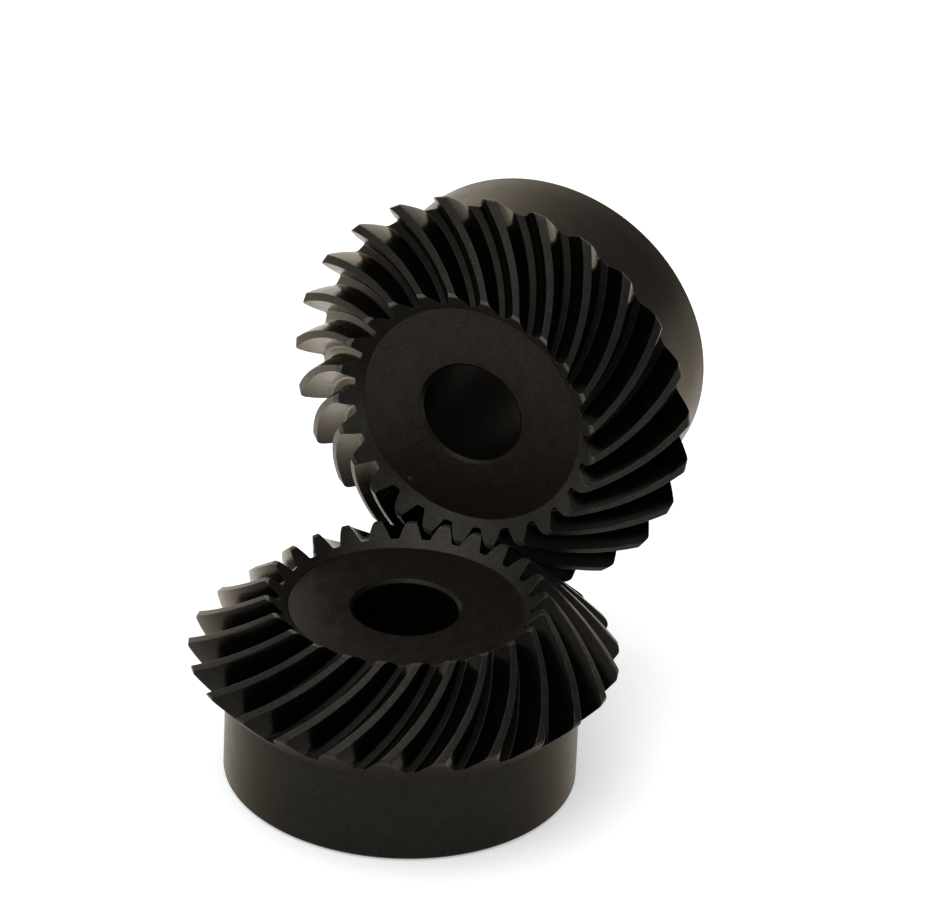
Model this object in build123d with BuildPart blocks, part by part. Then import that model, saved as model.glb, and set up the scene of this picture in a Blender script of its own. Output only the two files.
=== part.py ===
from build123d import *
import os
from math import pi, sin, cos, tan, asin, acos, atan, sqrt, radians, degrees

# Pair of equal spiral bevel (miter) gears: 1:1 ratio, shafts crossing at 90 degrees.
# Frame: origin at the centre of the lower gear's back face, on which the pair stands.
# +Z runs along the lower gear's axis towards the common apex, +X along the upper
# gear's axis, from the apex towards its hub. All lengths in millimetres.

# ---- driving dimensions -------------------------------------------------------------
teeth = 25                  # on each gear
module = 3.0                # outer transverse module
pressure_angle = 20.0       # normal, degrees
spiral_angle = 35.0         # at mid face, degrees
cutter_radius = 44.0        # radius of the lengthwise tooth curve on the crown gear
face_width = 19.0           # along the pitch cone
mounting_distance = 60.0    # apex to back face, along each axis
addendum = 0.85 * module
dedendum = 1.038 * module
backlash = 0.25             # circumferential, at the outer pitch circle
root_fillet = 0.80

hub_radius = 32.0
outside_radius = 38.9       # turned diameter that blunts the heel corners
crown_blunting = 0.40       # depth of the small flat turned on the toe corners
disc_height = 33.5          # front disc above the back face
disc_radius = 21.1          # where the front disc meets the toe cone
bore_radius = 9.5
bore_chamfer = 0.6
hub_chamfer = 0.5
tooth_phase = 7.4           # azimuth of one toe tip of the lower gear, degrees

datum_radius = 0.5          # tooling ball on the common apex

# ---- derived cone geometry -----------------------------------------------------------
r_pitch = module * teeth / 2
delta = radians(45.0)                              # pitch angle of both gears
cone_outer = r_pitch / sin(delta)                  # outer cone distance
cone_inner = cone_outer - face_width
cone_mean = cone_outer - face_width / 2
delta_face = delta + atan(addendum / cone_outer)   # face (tip) angle
delta_root = delta - atan(dedendum / cone_outer)   # root angle
alpha_t = atan(tan(radians(pressure_angle)) / cos(radians(spiral_angle)))
delta_base = asin(sin(delta) * cos(alpha_t))

# heel corner, where the face cone would meet the back cone
r_heel = r_pitch + addendum * cos(delta)
s_heel = r_pitch - addendum * sin(delta)           # depth below the apex
# toe corner, where the face cone would meet the toe cone
add_inner = addendum * cone_inner / cone_outer
r_toe = cone_inner * sin(delta) + add_inner * cos(delta)
s_toe = cone_inner * cos(delta) - add_inner * sin(delta)


def height(depth_below_apex):
    return mounting_distance - depth_below_apex


# ---- tooth form ------------------------------------------------------------------------
def involute_angle(d):
    """Azimuth swept by a spherical involute at polar angle d."""
    d = max(d, delta_base + 1e-9)
    return acos(min(1.0, cos(d) / cos(delta_base))) / sin(delta_base) - acos(
        min(1.0, tan(delta_base) / tan(d))
    )


half_space_pitch = pi / (2 * teeth) + 0.5 * backlash / r_pitch


def half_space(d):
    """Half the angular width of a tooth space at polar angle d."""
    return half_space_pitch + involute_angle(d) - involute_angle(delta)


# Lengthwise curve: an arc of the cutter's radius on the crown gear.
swing = sqrt(
    cone_mean**2
    + cutter_radius**2
    - 2 * cone_mean * cutter_radius * sin(radians(spiral_angle))
)


def crown_angle(r):
    return acos((r * r + swing**2 - cutter_radius**2) / (2 * r * swing))


def turn(r):
    """Rotation about the gear axis of the tooth section at cone distance r."""
    return (crown_angle(r) - crown_angle(cone_mean)) / sin(delta)


# Profile of half a space on the outer back cone, as (azimuth, polar angle) pairs:
# root line, fillet arc, then the flank up past the face cone.
def flank_xy(d):
    return half_space(d) * sin(d) * cone_outer, (d - delta) * cone_outer


def fillet_and_flank():
    y_root = (delta_root - delta) * cone_outer
    # slope of the flank just above the root
    best = None
    for i in range(400):
        d = delta_root + (delta - delta_root) * i / 399
        x, y = flank_xy(d)
        x2, y2 = flank_xy(d + 1e-4)
        length = sqrt((x2 - x) ** 2 + (y2 - y) ** 2)
        tx, ty = (x2 - x) / length, (y2 - y) / length
        # centre of an arc tangent to the flank at this point, inside the space
        cx, cy = x - root_fillet * ty, y + root_fillet * tx
        miss = abs(cy - root_fillet - y_root)
        if best is None or miss < best[0]:
            best = (miss, d, cx, cy, tx, ty)
    _, d_start, cx, cy, tx, ty = best
    points = [(0.0, y_root), (max(cx, 0.0) * 0.5, y_root), (max(cx, 0.0), y_root)]
    end = -atan(tx / ty)       # direction of the tangent point seen from the arc centre
    start = -pi / 2
    for i in range(1, 3):
        a = start + (end - start) * i / 3
        points.append((cx + root_fillet * cos(a), cy + root_fillet * sin(a)))
    d_top = delta_face + 1.1 / cone_outer
    for i in range(6):
        points.append(flank_xy(d_start + (d_top - d_start) * i / 5))
    return [(x / (cone_outer * sin(delta + y / cone_outer)), delta + y / cone_outer) for x, y in points]


half_profile = fillet_and_flank()
full_profile = [(-a, d) for a, d in reversed(half_profile)] + half_profile[1:]


def section_points(r_section):
    """The space's profile where it crosses the plane square to the pitch element."""
    result = []
    for a, d in full_profile:
        r = r_section
        for _ in range(40):
            psi = a + turn(r) - turn(r_section)
            r = r_section / (sin(delta) * sin(d) * cos(psi) + cos(delta) * cos(d))
        psi = a + turn(r) - turn(r_section)
        # local axes: x along the circumference, y square to the pitch cone
        x = r * sin(d) * sin(psi)
        y = r * sin(d) * cos(psi) * cos(delta) - r * cos(d) * sin(delta)
        result.append((x, y))
    return result


space_phase = radians(tooth_phase + 180.0 / teeth) - turn(
    (cone_inner) / cos(delta_face - delta)
)
section_distances = [31.0 + 26.0 * i / 6 for i in range(7)]

# every section's curve takes the same parameters, so the lofted surface stays light
middle_section = section_points(cone_mean)
chords = [0.0]
for (x1, y1), (x2, y2) in zip(middle_section, middle_section[1:]):
    chords.append(chords[-1] + sqrt((x2 - x1) ** 2 + (y2 - y1) ** 2))
parameters = [c / chords[-1] for c in chords]

# ---- one tooth space of the lower gear (right-hand spiral) ----------------------------
with BuildPart() as tooth_space:
    for r_section in section_distances:
        azimuth = space_phase + turn(r_section)
        outward = (cos(azimuth), sin(azimuth))
        plane = Plane(
            origin=(
                r_section * sin(delta) * outward[0],
                r_section * sin(delta) * outward[1],
                height(r_section * cos(delta)),
            ),
            x_dir=(-sin(azimuth), cos(azimuth), 0),
            z_dir=(-sin(delta) * outward[0], -sin(delta) * outward[1], cos(delta)),
        )
        points = [(x, y if plane.y_dir.Z > 0 else -y) for x, y in section_points(r_section)]
        with BuildSketch(plane):
            with BuildLine():
                add(Edge.make_spline([Vector(x, y) for x, y in points], parameters=parameters))
                Line(points[-1], points[0])
            make_face()
    loft()

# ---- lower gear: vertical axis, stands on its hub -------------------------------------
r_crown = r_toe - crown_blunting
s_crown = s_toe + crown_blunting
# inner edge of the crown flat, on the toe cone
toe_slope = (r_toe - disc_radius) / (mounting_distance - disc_height - s_toe)
r_crown_in = r_toe - crown_blunting * toe_slope
# outer edge of the crown flat, on the face cone
r_crown_out = s_crown * tan(delta_face)

with BuildPart() as lower_gear:
    with BuildSketch(Plane.XZ):
        with BuildLine():
            Polyline(
                (bore_radius, 0),
                (hub_radius, 0),
                (hub_radius, height(r_pitch + (r_pitch - hub_radius))),
                (outside_radius, height(s_heel + (r_heel - outside_radius))),
                (outside_radius, height(outside_radius / tan(delta_face))),
                (r_crown_out, height(s_crown)),
                (r_crown_in, height(s_crown)),
                (disc_radius, disc_height),
                (bore_radius, disc_height),
                close=True,
            )
        make_face()
    revolve(axis=Axis.Z)
    bore_edges = lower_gear.edges().filter_by(GeomType.CIRCLE).filter_by(
        lambda e: abs(e.radius - bore_radius) < 1e-3
    )
    chamfer(bore_edges, bore_chamfer)
    hub_edge = lower_gear.edges().filter_by(GeomType.CIRCLE).filter_by(
        lambda e: abs(e.radius - hub_radius) < 1e-3
    ).sort_by(Axis.Z)[0]
    chamfer(hub_edge, hub_chamfer)
    with PolarLocations(0, teeth):
        add(tooth_space.part, mode=Mode.SUBTRACT)

# ---- upper gear: the mirror image (left-hand spiral), turned half a pitch -------------
# Mirroring in the plane that holds the common pitch line swaps the two shaft axes.
pitch_plane = Plane(origin=(0, 0, mounting_distance), z_dir=(1, 0, 1))
half_pitch_turned = lower_gear.part.rotate(Axis.Z, 180.0 / teeth)

with BuildPart() as upper_gear:
    mirror(half_pitch_turned, about=pitch_plane)

# ---- tooling ball on the common apex: the datum that both shaft axes pass through -----
with BuildPart() as apex_datum:
    with Locations((0, 0, mounting_distance)):
        Sphere(datum_radius)

# ---- export ----------------------------------------------------------------------------
os.makedirs("parts", exist_ok=True)

lower_gear.part.label = "lower_gear"
export_step(lower_gear.part, "parts/lower_gear.step")

upper_gear.part.label = "upper_gear"
export_step(upper_gear.part, "parts/upper_gear.step")

apex_datum.part.label = "apex_datum"
export_step(apex_datum.part, "parts/apex_datum.step")
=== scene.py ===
"""Spiral bevel (miter) gear pair in black-oxide steel, on a pale studio floor."""

import math

import bpy
import numpy as np
from mathutils import Matrix, Vector


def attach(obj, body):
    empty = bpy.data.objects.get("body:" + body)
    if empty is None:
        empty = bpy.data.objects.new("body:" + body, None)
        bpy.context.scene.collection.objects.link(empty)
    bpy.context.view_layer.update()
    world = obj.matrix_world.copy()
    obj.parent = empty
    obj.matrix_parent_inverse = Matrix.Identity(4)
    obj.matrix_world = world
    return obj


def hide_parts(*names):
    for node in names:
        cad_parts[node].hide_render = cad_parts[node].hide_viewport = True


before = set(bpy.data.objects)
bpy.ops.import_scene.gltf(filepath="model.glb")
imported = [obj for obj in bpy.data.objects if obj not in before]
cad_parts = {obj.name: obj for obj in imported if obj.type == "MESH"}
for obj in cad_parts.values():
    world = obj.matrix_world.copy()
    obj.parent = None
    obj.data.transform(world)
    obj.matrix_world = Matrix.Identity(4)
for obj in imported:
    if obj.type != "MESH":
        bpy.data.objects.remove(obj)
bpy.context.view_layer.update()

# ---------------------------------------------------------------------------------------
# Gear geometry, in millimetres, in the lower gear's frame: Z is the gear's axis, the
# back face is at 0 and the pitch cone's apex at MOUNT.
# ---------------------------------------------------------------------------------------
TEETH = 25
MODULE = 3.0
ALPHA_N = math.radians(20.0)
SPIRAL = math.radians(35.0)
CUTTER = 44.0
FACE = 19.0
MOUNT = 60.0
ADD = 0.85 * MODULE
DED = 1.038 * MODULE
BACKLASH = 0.25
FILLET = 0.80
HUB_R = 32.0
OUT_R = 38.9
CROWN = 0.40
DISC_Z = 33.5
DISC_R = 21.1
BORE_R = 9.5
BORE_CH = 0.6
HUB_CH = 0.5
PHASE = 7.4

R_PITCH = MODULE * TEETH / 2
DELTA = math.radians(45.0)
RE = R_PITCH / math.sin(DELTA)
RI = RE - FACE
RM = RE - FACE / 2
D_FACE = DELTA + math.atan(ADD / RE)
D_ROOT = DELTA - math.atan(DED / RE)
ALPHA_T = math.atan(math.tan(ALPHA_N) / math.cos(SPIRAL))
D_BASE = math.asin(math.sin(DELTA) * math.cos(ALPHA_T))

ADD_I = ADD * RI / RE
R_TOE = RI * math.sin(DELTA) + ADD_I * math.cos(DELTA)
S_TOE = RI * math.cos(DELTA) - ADD_I * math.sin(DELTA)
S_DISC = MOUNT - DISC_Z
TOE_SLOPE = (R_TOE - DISC_R) / (S_DISC - S_TOE)
S_CROWN = S_TOE + CROWN
D_CROWN = math.atan2(R_TOE - CROWN * TOE_SLOPE, S_CROWN)   # toe cone meets crown flat
D_DISC = math.atan2(DISC_R, S_DISC)
D_HUB = math.atan2(HUB_R, 2 * R_PITCH - HUB_R)             # back cone meets hub
D_OUT = math.atan2(OUT_R, 2 * R_PITCH - OUT_R)             # back cone meets turned outside
PITCH = 2 * math.pi / TEETH


def involute(d):
    d = np.maximum(d, D_BASE + 1e-9)
    return np.arccos(np.clip(np.cos(d) / math.cos(D_BASE), -1, 1)) / math.sin(D_BASE) - np.arccos(
        np.clip(math.tan(D_BASE) / np.tan(d), -1, 1)
    )


HALF_0 = math.pi / (2 * TEETH) + 0.5 * BACKLASH / R_PITCH


def half_space(d):
    return HALF_0 + involute(d) - involute(DELTA)


SWING = math.sqrt(RM**2 + CUTTER**2 - 2 * RM * CUTTER * math.sin(SPIRAL))


def crown_angle(r):
    return np.arccos(np.clip((r * r + SWING**2 - CUTTER**2) / (2 * r * SWING), -1, 1))


def turn(r):
    return (crown_angle(r) - crown_angle(RM)) / math.sin(DELTA)


SPACE_0 = math.radians(PHASE + 180.0 / TEETH) - float(turn(RI / math.cos(D_FACE - DELTA)))


def heel_distance(d):
    return np.minimum(RE / np.cos(d - DELTA), OUT_R / np.sin(d))


def toe_distance(d):
    # the ray at polar angle d meets the toe cone's line, or the crown flat
    er, es = DISC_R - R_TOE, S_DISC - S_TOE
    cone = (R_TOE * es - S_TOE * er) / (np.sin(d) * es - np.cos(d) * er)
    return np.maximum(cone, S_CROWN / np.cos(d))


def place(dist, a, d):
    """Points at cone distance dist, tooth-space angle a (before the spiral) and polar angle d."""
    az = SPACE_0 + turn(dist) + a
    return np.stack(
        [dist * np.sin(d) * np.cos(az), dist * np.sin(d) * np.sin(az), MOUNT - dist * np.cos(d)], -1
    )


def graded(length, first, growth, biggest):
    """Distances 0 … length whose steps start at first and grow to biggest."""
    steps, at, step = [0.0], 0.0, first
    while at + step < length:
        at += step
        steps.append(at)
        step = min(step * growth, biggest)
    if length - steps[-1] < 0.5 * step and len(steps) > 2:
        steps.pop()
    steps.append(length)
    return np.array(steps)


def both_ends(length, first, growth, biggest):
    half = graded(length / 2, first, growth, biggest)
    return np.concatenate([half, length - half[-2::-1]])


# ---------------------------------------------------------------------------------------
# Materials. Every surface is the same black oxide, seen on a differently worked face; the lighter oxide on the crown
# flats is a painted highlight, and the darker oxide in the bore is painted shade.
# ---------------------------------------------------------------------------------------
FLANK, LAND, TURNED, HUB, DISC, CHAMFER, BORE, CROWNED = range(8)


def black_oxide(name, colour, tint, rough, ior, metal, marks, edge_highlight, grain=1.0, limb=1.0):
    """colour, tint: the oxide and its brownish bloom. marks: "lathe" rings about the gear's axis, or "cut" lines along
    the teeth.
    metal: how much of the reflection keeps the oxide's warm cast. edge_highlight: how much lighter the rounded edges
    are painted, a painted highlight in patches along them.
    grain: how strong the fine speckle is. limb: how strongly the surface reflects at a glancing view."""
    m = bpy.data.materials.new(name)
    m.use_nodes = True
    nt = m.node_tree
    nt.nodes.clear()
    N, L = nt.nodes.new, nt.links.new

    def math_node(op, a, b=None, c=None):
        n = N("ShaderNodeMath")
        n.operation = op
        for i, v in enumerate((a, b, c)):
            if v is None:
                continue
            if isinstance(v, (int, float)):
                n.inputs[i].default_value = v
            else:
                L(v, n.inputs[i])
        return n.outputs[0]

    def noise(vector, scale, detail, roughness=0.55):
        n = N("ShaderNodeTexNoise")
        n.inputs["Scale"].default_value = scale
        n.inputs["Detail"].default_value = detail
        n.inputs["Roughness"].default_value = roughness
        L(vector, n.inputs["Vector"])
        return n.outputs["Fac"]

    def ramp(value, lo, hi):
        n = N("ShaderNodeMapRange")
        n.interpolation_type = "SMOOTHSTEP"
        n.inputs["From Min"].default_value = lo
        n.inputs["From Max"].default_value = hi
        L(value, n.inputs["Value"])
        return n.outputs["Result"]

    def mix(fac, a, b):
        n = N("ShaderNodeMix")
        n.data_type = "RGBA"
        L(fac, n.inputs["Factor"])
        a_in = [i for i in n.inputs if i.name == "A" and i.type == "RGBA"][0]
        b_in = [i for i in n.inputs if i.name == "B" and i.type == "RGBA"][0]
        for socket, v in ((a_in, a), (b_in, b)):
            if isinstance(v, tuple):
                socket.default_value = v + (1.0,)
            else:
                L(v, socket)
        return [o for o in n.outputs if o.type == "RGBA"][0]

    gear = N("ShaderNodeAttribute")
    gear.attribute_name = "gear_co"
    gear = gear.outputs["Vector"]
    edge_at = N("ShaderNodeAttribute")
    edge_at.attribute_name = "edge"
    edge_at = edge_at.outputs["Fac"]

    sep = N("ShaderNodeSeparateXYZ")
    L(gear, sep.inputs[0])
    gx, gy, gz = sep.outputs
    rad = math_node("SQRT", math_node("ADD", math_node("MULTIPLY", gx, gx), math_node("MULTIPLY", gy, gy)))
    if marks == "lathe":
        vec = N("ShaderNodeCombineXYZ")
        L(math_node("MULTIPLY", math_node("DIVIDE", gx, rad), 0.9), vec.inputs[0])
        L(math_node("MULTIPLY", math_node("DIVIDE", gy, rad), 0.9), vec.inputs[1])
        L(math_node("MULTIPLY", math_node("MULTIPLY_ADD", gz, 1.31, rad), 3200.0), vec.inputs[2])
        lines = noise(vec.outputs[0], 1.0, 2.0, 0.7)
    else:
        cut = N("ShaderNodeAttribute")
        cut.attribute_name = "cut_co"
        scale = N("ShaderNodeVectorMath")
        scale.operation = "MULTIPLY"
        scale.inputs[1].default_value = (4.2, 0.16, 1.0)
        L(cut.outputs["Vector"], scale.inputs[0])
        lines = noise(scale.outputs[0], 1.0, 2.0, 0.65)

    bloom = noise(gear, 330.0, 5.0, 0.72)
    speck = noise(gear, 2300.0, 1.0, 0.5)
    fine = noise(gear, 5200.0, 0.0)

    shade = ramp(bloom, 0.26, 0.76)
    colour_now = mix(shade, colour, tint)
    dots = math_node("MULTIPLY", ramp(speck, 0.50, 0.80), 0.30 * grain)
    colour_now = mix(dots, colour_now, tuple(min(1.0, 1.9 * t) for t in tint))
    # painted highlight: the rounded convex edges are painted lighter in patches, standing in for the light they catch
    edge_highlight_mask = math_node("MULTIPLY", math_node("MULTIPLY", ramp(edge_at, 0.45, 1.0), ramp(noise(gear, 300.0, 4.0, 0.75), 0.44, 0.66)), edge_highlight)
    colour_now = mix(edge_highlight_mask, colour_now, (0.060, 0.056, 0.050))

    r = math_node("MULTIPLY_ADD", bloom, 0.22, rough - 0.11)
    r = math_node("MULTIPLY_ADD", lines, 0.12, math_node("SUBTRACT", r, 0.06))
    r = math_node("SUBTRACT", r, math_node("MULTIPLY", edge_highlight_mask, 0.10))
    r = math_node("MAXIMUM", r, 0.08)

    height = math_node("MULTIPLY_ADD", lines, 1.0, math_node("MULTIPLY", fine, 0.55 * grain))
    bump = N("ShaderNodeBump")
    bump.inputs["Strength"].default_value = 0.35
    bump.inputs["Distance"].default_value = 0.000035
    L(height, bump.inputs["Height"])

    p = N("ShaderNodeBsdfPrincipled")
    out = N("ShaderNodeOutputMaterial")
    L(colour_now, p.inputs["Base Color"])
    L(r, p.inputs["Roughness"])
    p.inputs["IOR"].default_value = ior
    L(bump.outputs[0], p.inputs["Normal"])
    p.inputs["Metallic"].default_value = metal
    p.inputs["Specular Tint"].default_value = (limb, 0.91 * limb, 0.79 * limb, 1.0)
    L(p.outputs[0], out.inputs[0])
    return m


MATERIALS = [
    black_oxide("oxide_on_cut_flanks", (0.0056, 0.0052, 0.0045), (0.0088, 0.0079, 0.0066), 0.25, 1.22, 0.80, "cut", 0.50, 0.6),
    black_oxide("oxide_on_tooth_lands", (0.0140, 0.0132, 0.0117), (0.0210, 0.0195, 0.0172), 0.33, 1.15, 0.55, "lathe", 0.55, 2.0),
    black_oxide("oxide_on_tooth_ends", (0.0200, 0.0186, 0.0162), (0.0285, 0.0258, 0.0218), 0.32, 1.16, 0.58, "lathe", 0.40, 1.5),
    black_oxide("oxide_on_hub", (0.0108, 0.0100, 0.0086), (0.0152, 0.0136, 0.0112), 0.31, 1.195, 0.75, "lathe", 0.20, 1.2, 0.86),
    black_oxide("oxide_on_disc", (0.0125, 0.0103, 0.0077), (0.0190, 0.0148, 0.0106), 0.33, 1.17, 0.45, "lathe", 0.20, 2.4),
    black_oxide("oxide_on_chamfer", (0.0115, 0.0106, 0.0091), (0.0160, 0.0145, 0.0122), 0.28, 1.17, 0.70, "lathe", 0.30, 1.0, 0.8),
    # painted shade: the bore's oxide is made near-black, dull and weakly reflecting, standing in for the shade inside
    # it
    black_oxide("oxide_in_bore_painted_shade", (0.0016, 0.0015, 0.0012), (0.0030, 0.0026, 0.0021), 0.56, 1.08, 0.30, "lathe", 0.0, 1.0, 0.8),
    # painted highlight: the crown flats at the toe get a much lighter oxide, standing in for the light they catch
    black_oxide("oxide_crown_flats_painted_highlight", (0.0340, 0.0322, 0.0290), (0.0780, 0.0735, 0.0655), 0.30, 1.20, 0.60, "lathe", 0.40, 1.5),
]


# ---- half profile of a tooth space: root, fillet, flank, tip corner, land ---------------
def half_profile():
    y_root = (D_ROOT - DELTA) * RE
    best = None
    for d in np.linspace(D_ROOT, DELTA, 1200):
        x, y = float(half_space(d)) * math.sin(d) * RE, (d - DELTA) * RE
        x2, y2 = float(half_space(d + 1e-4)) * math.sin(d + 1e-4) * RE, (d + 1e-4 - DELTA) * RE
        n = math.hypot(x2 - x, y2 - y)
        tx, ty = (x2 - x) / n, (y2 - y) / n
        cx, cy = x - FILLET * ty, y + FILLET * tx
        miss = abs(cy - FILLET - y_root)
        if best is None or miss < best[0]:
            best = (miss, d, cx, cy, tx, ty)
    _, d_start, cx, cy, tx, ty = best
    pts = []
    for x in np.linspace(0, max(cx, 0.0), 3)[:-1]:
        pts.append((x, y_root))
    end, start = -math.atan(tx / ty), -math.pi / 2
    for a in np.linspace(start, end, 7)[:-1]:
        pts.append((cx + FILLET * math.cos(a), cy + FILLET * math.sin(a)))
    a = [x / (RE * math.sin(DELTA + y / RE)) for x, y in pts]
    d = [DELTA + y / RE for x, y in pts]
    # flank: close lines at the tip corner, and lines exactly on the two end creases
    mm = 1 / RE
    up = np.concatenate(
        [
            np.linspace(d_start, D_CROWN - 0.55 * mm, 9),
            [D_CROWN - 0.22 * mm, D_CROWN, (D_CROWN + D_OUT) / 2, D_OUT],
            [D_FACE - 0.33 * mm, D_FACE - 0.18 * mm, D_FACE - 0.08 * mm, D_FACE],
        ]
    )
    for dd in up:
        a.append(float(half_space(dd)))
        d.append(dd)
    # land: from the tip corner to the tooth's centre line
    a_tip, a_mid = a[-1], PITCH / 2
    scale = RE * math.sin(D_FACE)
    for off in (0.09, 0.19, 0.34):
        a.append(a_tip + off / scale)
        d.append(D_FACE)
    a.append(a_mid)
    d.append(D_FACE)
    return np.array(a), np.array(d)


a_half, d_half = half_profile()
PA = np.concatenate([-a_half[::-1], a_half[1:-1]])      # one pitch, the last column is the next pitch's first
PD = np.concatenate([d_half[::-1], d_half[1:-1]])
NU = len(PA)


def gear_mesh():
    """Vertices (mm), faces (tuples) and the vertex groups of one gear, as closed rings of NU*TEETH columns."""
    ncol = NU * TEETH

    def around(rows):
        """rows: list of (dist, a, d) arrays over one pitch → rows × (NU*TEETH) × 3 points."""
        dist = np.stack([r[0] for r in rows])
        a = np.stack([r[1] for r in rows])
        d = np.stack([r[2] for r in rows])
        k = np.arange(TEETH) * PITCH
        n = len(rows)
        dist = np.repeat(dist[:, None, :], TEETH, 1).reshape(n, ncol)
        d = np.repeat(d[:, None, :], TEETH, 1).reshape(n, ncol)
        a = (a[:, None, :] + k[None, :, None]).reshape(n, ncol)
        return place(dist, a, d)

    a_even = -PITCH / 2 + PITCH * np.arange(NU) / NU

    def fan(level_d):
        w = np.clip((D_ROOT - 0.004 - level_d) / (D_ROOT - 0.004 - D_HUB), 0, 1)
        w = w * w * (3 - 2 * w)
        return PA + w * (a_even - PA)

    # toe end: from the disc's edge up to the profile
    top1 = np.minimum(PD, D_CROWN)
    rows = []
    near = np.array([0.0, 0.10, 0.22, 0.40, 0.70])
    low = D_DISC
    t_far = np.linspace(0, 1, 7)
    r_here = 34.5
    start = top1 - near[-1] / r_here
    for t in t_far[:-1]:
        d = low + (start - low) * t
        rows.append((toe_distance(d), None, d))
        if t == 0:
            d = np.full(NU, low + 0.16 / r_here)
            rows.append((toe_distance(d), None, d))
    for off in near[::-1]:
        d = top1 - off / r_here
        rows.append((toe_distance(d), None, d))
    for t in (0.17, 0.42, 0.72, 0.87, 1.0):
        d = top1 + (PD - top1) * t
        rows.append((toe_distance(d), None, d))
    toe_rows = []
    for dist, _, d in rows:
        w = np.clip((D_ROOT - 0.004 - d) / (D_ROOT - 0.004 - D_DISC), 0, 1)
        w = w * w * (3 - 2 * w)
        toe_rows.append((dist, PA + w * (a_even - PA), d))
    toe = around(toe_rows)

    # tooth sheet: from toe to heel along each profile line
    r0, r1 = toe_distance(PD), heel_distance(PD)
    mean_len = float(np.mean(r1 - r0))
    v = both_ends(mean_len, 0.10, 1.38, 0.95) / mean_len
    sheet = around([(r0 + (r1 - r0) * t, PA, PD) for t in v])

    # heel end: from the profile down to the hub
    top2 = np.minimum(PD, D_OUT)
    rows = []
    for t in (0.0, 0.14, 0.32, 0.62, 0.84):
        d = PD + (top2 - PD) * t
        rows.append(d)
    near = np.array([0.0, 0.10, 0.22, 0.42, 0.80])
    for off in near:
        rows.append(top2 - off / RE)
    start = top2 - near[-1] / RE
    for t in np.linspace(0, 1, 9)[1:]:
        rows.append(start + (D_HUB - start) * t)
    heel = around([(heel_distance(d), fan(d), d) for d in rows])

    grid = np.concatenate([toe, sheet[1:], heel[1:]])         # one grid from disc edge to hub
    # which surface each strip belongs to, and the lengthwise pattern's coordinates on the teeth
    n_toe, n_sheet = toe.shape[0] - 1, sheet.shape[0] - 1
    land = (PD >= D_FACE - 1e-9) & (np.roll(PD, -1) >= D_FACE - 1e-9)
    zone = np.full((grid.shape[0] - 1, NU), TURNED)
    zone[n_toe : n_toe + n_sheet] = np.where(land, LAND, FLANK)
    # the crown flats get the lighter oxide, a painted highlight
    zone[n_toe - 5 : n_toe] = CROWNED
    zone[0] = CHAMFER
    zone = np.tile(zone, (1, TEETH))
    step = np.hypot(np.diff(PA) * RE * math.sin(DELTA), np.diff(PD) * RE)
    across = np.tile(np.concatenate([[0], np.cumsum(step)]), TEETH) + np.repeat(np.arange(TEETH) * 41.7, NU)
    dist = np.linalg.norm(grid - np.array([0, 0, MOUNT]), axis=2)
    pattern = np.stack([np.tile(across, (grid.shape[0], 1)), dist], -1).reshape(-1, 2)
    nrow = grid.shape[0]
    co = grid.reshape(-1, 3)
    idx = np.arange(nrow * ncol).reshape(nrow, ncol)
    nxt = np.roll(idx, -1, axis=1)
    quads = np.stack([idx[:-1], idx[1:], nxt[1:], nxt[:-1]], -1).reshape(-1, 4)
    return co, quads, idx, ncol, zone.reshape(-1), pattern


def weld(co, quads):
    """Merges coincident points and drops the faces that this collapses."""
    key = np.round(co / 2e-4).astype(np.int64)
    _, first, inverse = np.unique(key, axis=0, return_index=True, return_inverse=True)
    inverse = inverse.reshape(-1)
    order = np.argsort(first)
    rank = np.empty_like(order)
    rank[order] = np.arange(len(order))
    new = rank[inverse]
    return co[first[order]], new[quads], new, first[order]


def face_list(quads, zone):
    """Quads as lists without repeated corners, left out where fewer than three are left, with their zones."""
    out, kept = [], []
    for q, z in zip(quads.tolist(), zone.tolist()):
        f = [q[i] for i in range(4) if q[i] != q[i - 1]]
        if len(f) >= 3 and len(set(f)) == len(f):
            out.append(f)
            kept.append(z)
    return out, kept


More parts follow.
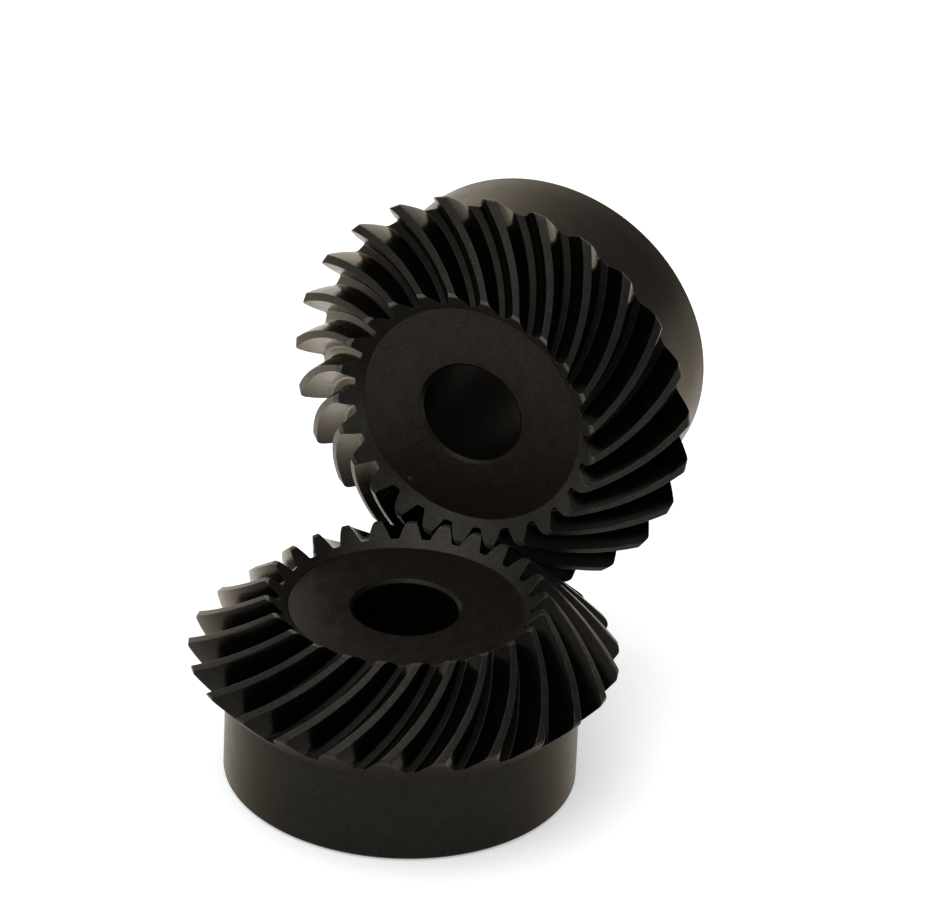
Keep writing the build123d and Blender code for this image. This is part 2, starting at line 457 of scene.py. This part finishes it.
def soften(co, quads, keep, passes, angle, rings, strength=0.5):
    """Rounds the sharp convex edges of the tooth grid: points near them move to the mean of their neighbours."""
    tri = np.concatenate([quads[:, [0, 1, 2]], quads[:, [0, 2, 3]]])
    n = np.zeros((len(quads), 3))
    p = co[quads]
    n = np.cross(p[:, 2] - p[:, 0], p[:, 3] - p[:, 1])
    ln = np.linalg.norm(n, axis=1)
    good = ln > 1e-9
    n[good] /= ln[good][:, None]
    c = p.mean(1)
    e = np.concatenate([quads[:, [0, 1]], quads[:, [1, 2]], quads[:, [2, 3]], quads[:, [3, 0]]])
    f = np.tile(np.arange(len(quads)), 4)
    ok = (e[:, 0] != e[:, 1]) & good[f]
    e, f = e[ok], f[ok]
    lo, hi = e.min(1), e.max(1)
    key = lo.astype(np.int64) * (len(co) + 1) + hi
    order = np.argsort(key, kind="stable")
    key, lo, hi, f = key[order], lo[order], hi[order], f[order]
    same = key[1:] == key[:-1]
    i = np.nonzero(same)[0]
    fa, fb = f[i], f[i + 1]
    cosang = (n[fa] * n[fb]).sum(1)
    convex = ((c[fb] - c[fa]) * n[fa]).sum(1) < 0
    sharp = (cosang < math.cos(angle)) & convex
    first = np.concatenate([[True], ~same])
    el, eh = lo[first], hi[first]
    mark = np.zeros(len(co), bool)
    mark[lo[i][sharp]] = True
    mark[hi[i][sharp]] = True
    mark &= ~keep
    weight = mark.astype(float)
    for _ in range(rings):
        spread = np.zeros(len(co))
        np.maximum.at(spread, el, weight[eh])
        np.maximum.at(spread, eh, weight[el])
        weight = np.maximum(weight, spread * 0.75)
    weight[keep] = 0
    weight[weight < 0.3] = 0
    deg = np.bincount(el, minlength=len(co)) + np.bincount(eh, minlength=len(co))
    deg = np.maximum(deg, 1)[:, None]
    for _ in range(passes):
        s = np.zeros_like(co)
        for j in range(3):
            s[:, j] = np.bincount(el, co[eh, j], len(co)) + np.bincount(eh, co[el, j], len(co))
        co = co + (weight * strength)[:, None] * (s / deg - co)
    return co, weight


def turned_profile():
    """Radius and height of the turned surfaces from the hub's top, round the back, up the bore to the disc's edge."""
    def rounded(points, radii, n=3):
        out = []
        for i, (p, r) in enumerate(zip(points, radii)):
            if r == 0:
                out.append(p)
                continue
            a, b = points[i - 1], points[i + 1]
            u = np.array(a) - p
            w = np.array(b) - p
            u, w = u / np.linalg.norm(u), w / np.linalg.norm(w)
            ang = math.acos(float(np.clip(u @ w, -1, 1)))
            t = r / math.tan(ang / 2)
            p0, p1 = np.array(p) + u * t, np.array(p) + w * t
            for s in np.linspace(0, 1, n + 1):
                q = (1 - s) ** 2 * p0 + 2 * s * (1 - s) * np.array(p) + s * s * p1
                out.append(tuple(q))
        return out

    pts = [
        (HUB_R, MOUNT - (2 * R_PITCH - HUB_R)),
        (HUB_R, HUB_CH),
        (HUB_R - HUB_CH, 0.0),
        (BORE_R + BORE_CH, 0.0),
        (BORE_R, BORE_CH),
        (BORE_R, DISC_Z - BORE_CH),
        (BORE_R + BORE_CH, DISC_Z),
        (DISC_R, DISC_Z),
    ]
    return rounded(pts, [0, 0.18, 0.18, 0.14, 0.14, 0.14, 0.14, 0])


def build_gear():
    co, quads, idx, ncol, zone, pattern = gear_mesh()
    co, quads, new, origin = weld(co, quads)
    pattern = pattern[origin]
    rim_toe, rim_heel = new[idx[0]], new[idx[-1]]
    keep = np.zeros(len(co), bool)
    keep[rim_toe] = True
    keep[rim_heel] = True
    radius = np.hypot(co[:, 0], co[:, 1])
    co, near = soften(co, quads, keep, 3, math.radians(22), 2)
    # the heel corners are blunter
    tip = radius > OUT_R - 1.0
    co, _ = soften(co, quads, keep | ~tip, 3, math.radians(12), 2)
    faces, zones = face_list(quads, zone)

    # turned part: coarse rings, joined to the tooth grid by fans of four columns to one
    step = 4 if ncol % 4 == 0 else (5 if ncol % 5 == 0 else (3 if ncol % 3 == 0 else 1))
    prof = turned_profile()
    coarse = ncol // step
    verts = [co]
    base = len(co)
    az_heel = np.unwrap(np.arctan2(co[rim_heel, 1], co[rim_heel, 0]))[::step]
    az_toe = np.unwrap(np.arctan2(co[rim_toe, 1], co[rim_toe, 0]))[::step]
    # heights between the profile's corners
    ring = []
    for i in range(len(prof) - 1):
        (ra, za), (rb, zb) = prof[i], prof[i + 1]
        length = math.hypot(rb - ra, zb - za)
        n = max(1, int(round(length / 6.0)))
        for j in range(n):
            t = j / n
            ring.append((ra + (rb - ra) * t, za + (zb - za) * t))
    ring.append(prof[-1])
    rings = []
    # a ring a little way from each joined rim keeps the fans narrow
    first = (HUB_R, ring[0][1] - 0.8)
    last = (DISC_R - 0.8, DISC_Z)
    chain = [first] + [r for r in ring[1:-1] if not (r[0] > DISC_R - 0.9 and r[1] == DISC_Z) and not (r[0] == HUB_R and r[1] > first[1])] + [last]
    nch = len(chain)
    shift = az_toe[0] - az_heel[0]
    shift = (shift + math.pi) % (2 * math.pi) - math.pi
    for i, (r, z) in enumerate(chain):
        w = i / (nch - 1)
        az = az_heel + shift * w
        verts.append(np.stack([r * np.cos(az), r * np.sin(az), np.full(coarse, z)], -1))
        rings.append(base + np.arange(coarse))
        base += coarse
    for a, b, (ra, za), (rb, zb) in zip(rings[:-1], rings[1:], chain[:-1], chain[1:]):
        if max(ra, rb) > BORE_R + BORE_CH + 0.3:
            zone_of = DISC if min(za, zb) > DISC_Z - 0.05 else HUB
        else:
            # the bore's wall gets the painted-shade oxide
            zone_of = BORE if max(ra, rb) < BORE_R + 0.02 else CHAMFER
        for j in range(coarse):
            k = (j + 1) % coarse
            faces.append([int(a[j]), int(b[j]), int(b[k]), int(a[k])])
            zones.append(zone_of)

    def fans(fine, coarse_ring, flip, zone_of):
        m = len(fine)
        for j in range(coarse):
            k = (j + 1) % coarse
            f = [int(fine[(j * step + i) % m]) for i in range(step + 1)]
            bj, bk = int(coarse_ring[j]), int(coarse_ring[k])
            half = step // 2
            tris = [(bj, f[i + 1], f[i]) for i in range(half)] + [(bj, bk, f[half])] + [(bk, f[i + 1], f[i]) for i in range(half, step)]
            for t in tris:
                faces.append(list(t[::-1]) if flip else list(t))
                zones.append(zone_of)

    fans(rim_heel, rings[0], False, HUB)
    fans(rim_toe, rings[-1], True, DISC)
    co = np.concatenate(verts)
    more = len(co) - len(near)
    edge = np.concatenate([near, np.zeros(more)])
    pattern = np.concatenate([pattern, np.zeros((more, 2))])
    return co, faces, zones, edge, pattern


def make_object(name, co_mm, faces, canonical, zones, edge, pattern):
    me = bpy.data.meshes.new(name)
    me.from_pydata((co_mm / 1000.0).tolist(), [], faces)
    me.update()
    at = me.attributes.new("gear_co", "FLOAT_VECTOR", "POINT")
    at.data.foreach_set("vector", (canonical / 1000.0).astype(np.float32).ravel())
    at = me.attributes.new("edge", "FLOAT", "POINT")
    at.data.foreach_set("value", edge.astype(np.float32))
    at = me.attributes.new("cut_co", "FLOAT_VECTOR", "POINT")
    at.data.foreach_set("vector", np.concatenate([pattern, np.zeros((len(pattern), 1))], 1).astype(np.float32).ravel())
    for m in MATERIALS:
        me.materials.append(m)
    me.polygons.foreach_set("material_index", zones)
    me.polygons.foreach_set("use_smooth", [True] * len(me.polygons))
    me.set_sharp_from_angle(angle=math.radians(28))
    ob = bpy.data.objects.new(name, me)
    bpy.context.scene.collection.objects.link(ob)
    return ob


co, faces, zones, edge, pattern = build_gear()
lower = make_object("lower_gear_detail", co, faces, co, zones, edge, pattern)

# the upper gear is the mirror image, turned half a pitch
h = math.radians(180.0 / TEETH)
x, y, z = co[:, 0] * math.cos(h) - co[:, 1] * math.sin(h), co[:, 0] * math.sin(h) + co[:, 1] * math.cos(h), co[:, 2]
upper_co = np.stack([MOUNT - z, y, MOUNT - x], -1)
upper = make_object("upper_gear_detail", upper_co, [f[::-1] for f in faces], co, zones, edge, pattern)

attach(lower, "lower_gear")
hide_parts("lower_gear")
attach(upper, "upper_gear")
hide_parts("upper_gear")


def datum_steel():
    """The 1 mm datum ball on the common apex: blackened ground steel, dull and finely mottled."""
    m = bpy.data.materials.new("datum_ball_steel")
    m.use_nodes = True
    nt = m.node_tree
    p = nt.nodes["Principled BSDF"]
    where = nt.nodes.new("ShaderNodeTexCoord")
    mottle = nt.nodes.new("ShaderNodeTexNoise")
    mottle.inputs["Scale"].default_value = 5200.0
    mottle.inputs["Detail"].default_value = 3.0
    nt.links.new(where.outputs["Object"], mottle.inputs["Vector"])
    shade = nt.nodes.new("ShaderNodeValToRGB")
    shade.color_ramp.elements[0].position, shade.color_ramp.elements[1].position = 0.35, 0.70
    shade.color_ramp.elements[0].color = (0.0070, 0.0064, 0.0056, 1)
    shade.color_ramp.elements[1].color = (0.0130, 0.0116, 0.0096, 1)
    nt.links.new(mottle.outputs["Fac"], shade.inputs["Fac"])
    nt.links.new(shade.outputs["Color"], p.inputs["Base Color"])
    rough = nt.nodes.new("ShaderNodeMath")
    rough.operation = "MULTIPLY_ADD"
    rough.inputs[1].default_value, rough.inputs[2].default_value = 0.20, 0.45
    nt.links.new(mottle.outputs["Fac"], rough.inputs[0])
    nt.links.new(rough.outputs[0], p.inputs["Roughness"])
    p.inputs["IOR"].default_value = 1.15
    return m


# the datum ball is carried over from the CAD as it is
ball_steel = datum_steel()
for material_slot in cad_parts["apex_datum"].material_slots:
    material_slot.material = ball_steel


# ---- floor, light, camera ------------------------------------------------------------------
me = bpy.data.meshes.new("studio_floor")
s = 6.0
me.from_pydata([(-s, -s, -0.0002), (s, -s, -0.0002), (s, s, -0.0002), (-s, s, -0.0002)], [], [(0, 1, 2, 3)])
floor = bpy.data.objects.new("studio_floor", me)
bpy.context.scene.collection.objects.link(floor)
fm = bpy.data.materials.new("pale_floor")
fm.use_nodes = True
fb = fm.node_tree.nodes["Principled BSDF"]
fb.inputs["Base Color"].default_value = (0.86, 0.875, 0.88, 1)
fb.inputs["Roughness"].default_value = 0.9
fb.inputs["Specular IOR Level"].default_value = 0.0
fb.inputs["Emission Color"].default_value = (1.0, 1.0, 1.0, 1)
fb.inputs["Emission Strength"].default_value = 0.39
floor.data.materials.append(fm)

# a soft studio: a dim room with broad glowing areas, each (azimuth from the camera's back wall, elevation, strength, tightness)
world = bpy.data.worlds.new("studio")
bpy.context.scene.world = world
world.use_nodes = True
nt = world.node_tree
background = nt.nodes["Background"]
coord = nt.nodes.new("ShaderNodeTexCoord")
AMBIENT = 0.10
GLOWS = [
    (0, 6, 1.35, 7.0),
    (45, 6, 0.26, 7.0),
    (135, 6, 0.22, 7.0),
    (200, 6, 0.25, 7.0),
    (270, 6, 0.45, 7.0),
    (320, 6, 0.45, 7.0),
    (335, 30, 0.60, 7.0),
    (230, 74, 2.9, 6.0),
]
total = None
for turn_deg, up_deg, strength, tight in GLOWS:
    a = math.radians(67.468 + turn_deg)
    e = math.radians(up_deg)
    dot = nt.nodes.new("ShaderNodeVectorMath")
    dot.operation = "DOT_PRODUCT"
    dot.inputs[1].default_value = (math.sin(a) * math.cos(e), math.cos(a) * math.cos(e), math.sin(e))
    nt.links.new(coord.outputs["Generated"], dot.inputs[0])
    fall = nt.nodes.new("ShaderNodeMath")
    fall.operation = "MULTIPLY_ADD"
    fall.inputs[1].default_value = tight
    fall.inputs[2].default_value = math.log(strength) - tight
    nt.links.new(dot.outputs["Value"], fall.inputs[0])
    glow = nt.nodes.new("ShaderNodeMath")
    glow.operation = "EXPONENT"
    nt.links.new(fall.outputs[0], glow.inputs[0])
    add = nt.nodes.new("ShaderNodeMath")
    add.operation = "ADD"
    nt.links.new(glow.outputs[0], add.inputs[0])
    if total is None:
        add.inputs[1].default_value = AMBIENT
    else:
        nt.links.new(total, add.inputs[1])
    total = add.outputs[0]
nt.links.new(total, background.inputs["Strength"])
background.inputs["Color"].default_value = (1, 1, 1, 1)

cam_data = bpy.data.cameras.new("camera")
cam = bpy.data.objects.new("camera", cam_data)
bpy.context.scene.collection.objects.link(cam)
az, el, roll = math.radians(67.468), math.radians(29.249), math.radians(2.454)
d = Vector((math.sin(az) * math.cos(el), math.cos(az) * math.cos(el), -math.sin(el)))
r = d.cross(Vector((0, 0, 1))).normalized()
u = r.cross(d)
r2 = math.cos(roll) * r + math.sin(roll) * u
u2 = -math.sin(roll) * r + math.cos(roll) * u
cam.matrix_world = Matrix(
    (
        (r2.x, u2.x, -d.x, -1.079888),
        (r2.y, u2.y, -d.y, -0.457824),
        (r2.z, u2.z, -d.z, 0.722564),
        (0, 0, 0, 1),
    )
)
cam_data.sensor_width = 36.0
cam_data.lens = 7580.45 / 926 * 36.0
cam_data.clip_end = 100
bpy.context.scene.camera = cam
bpy.context.scene.view_settings.view_transform = "Standard"
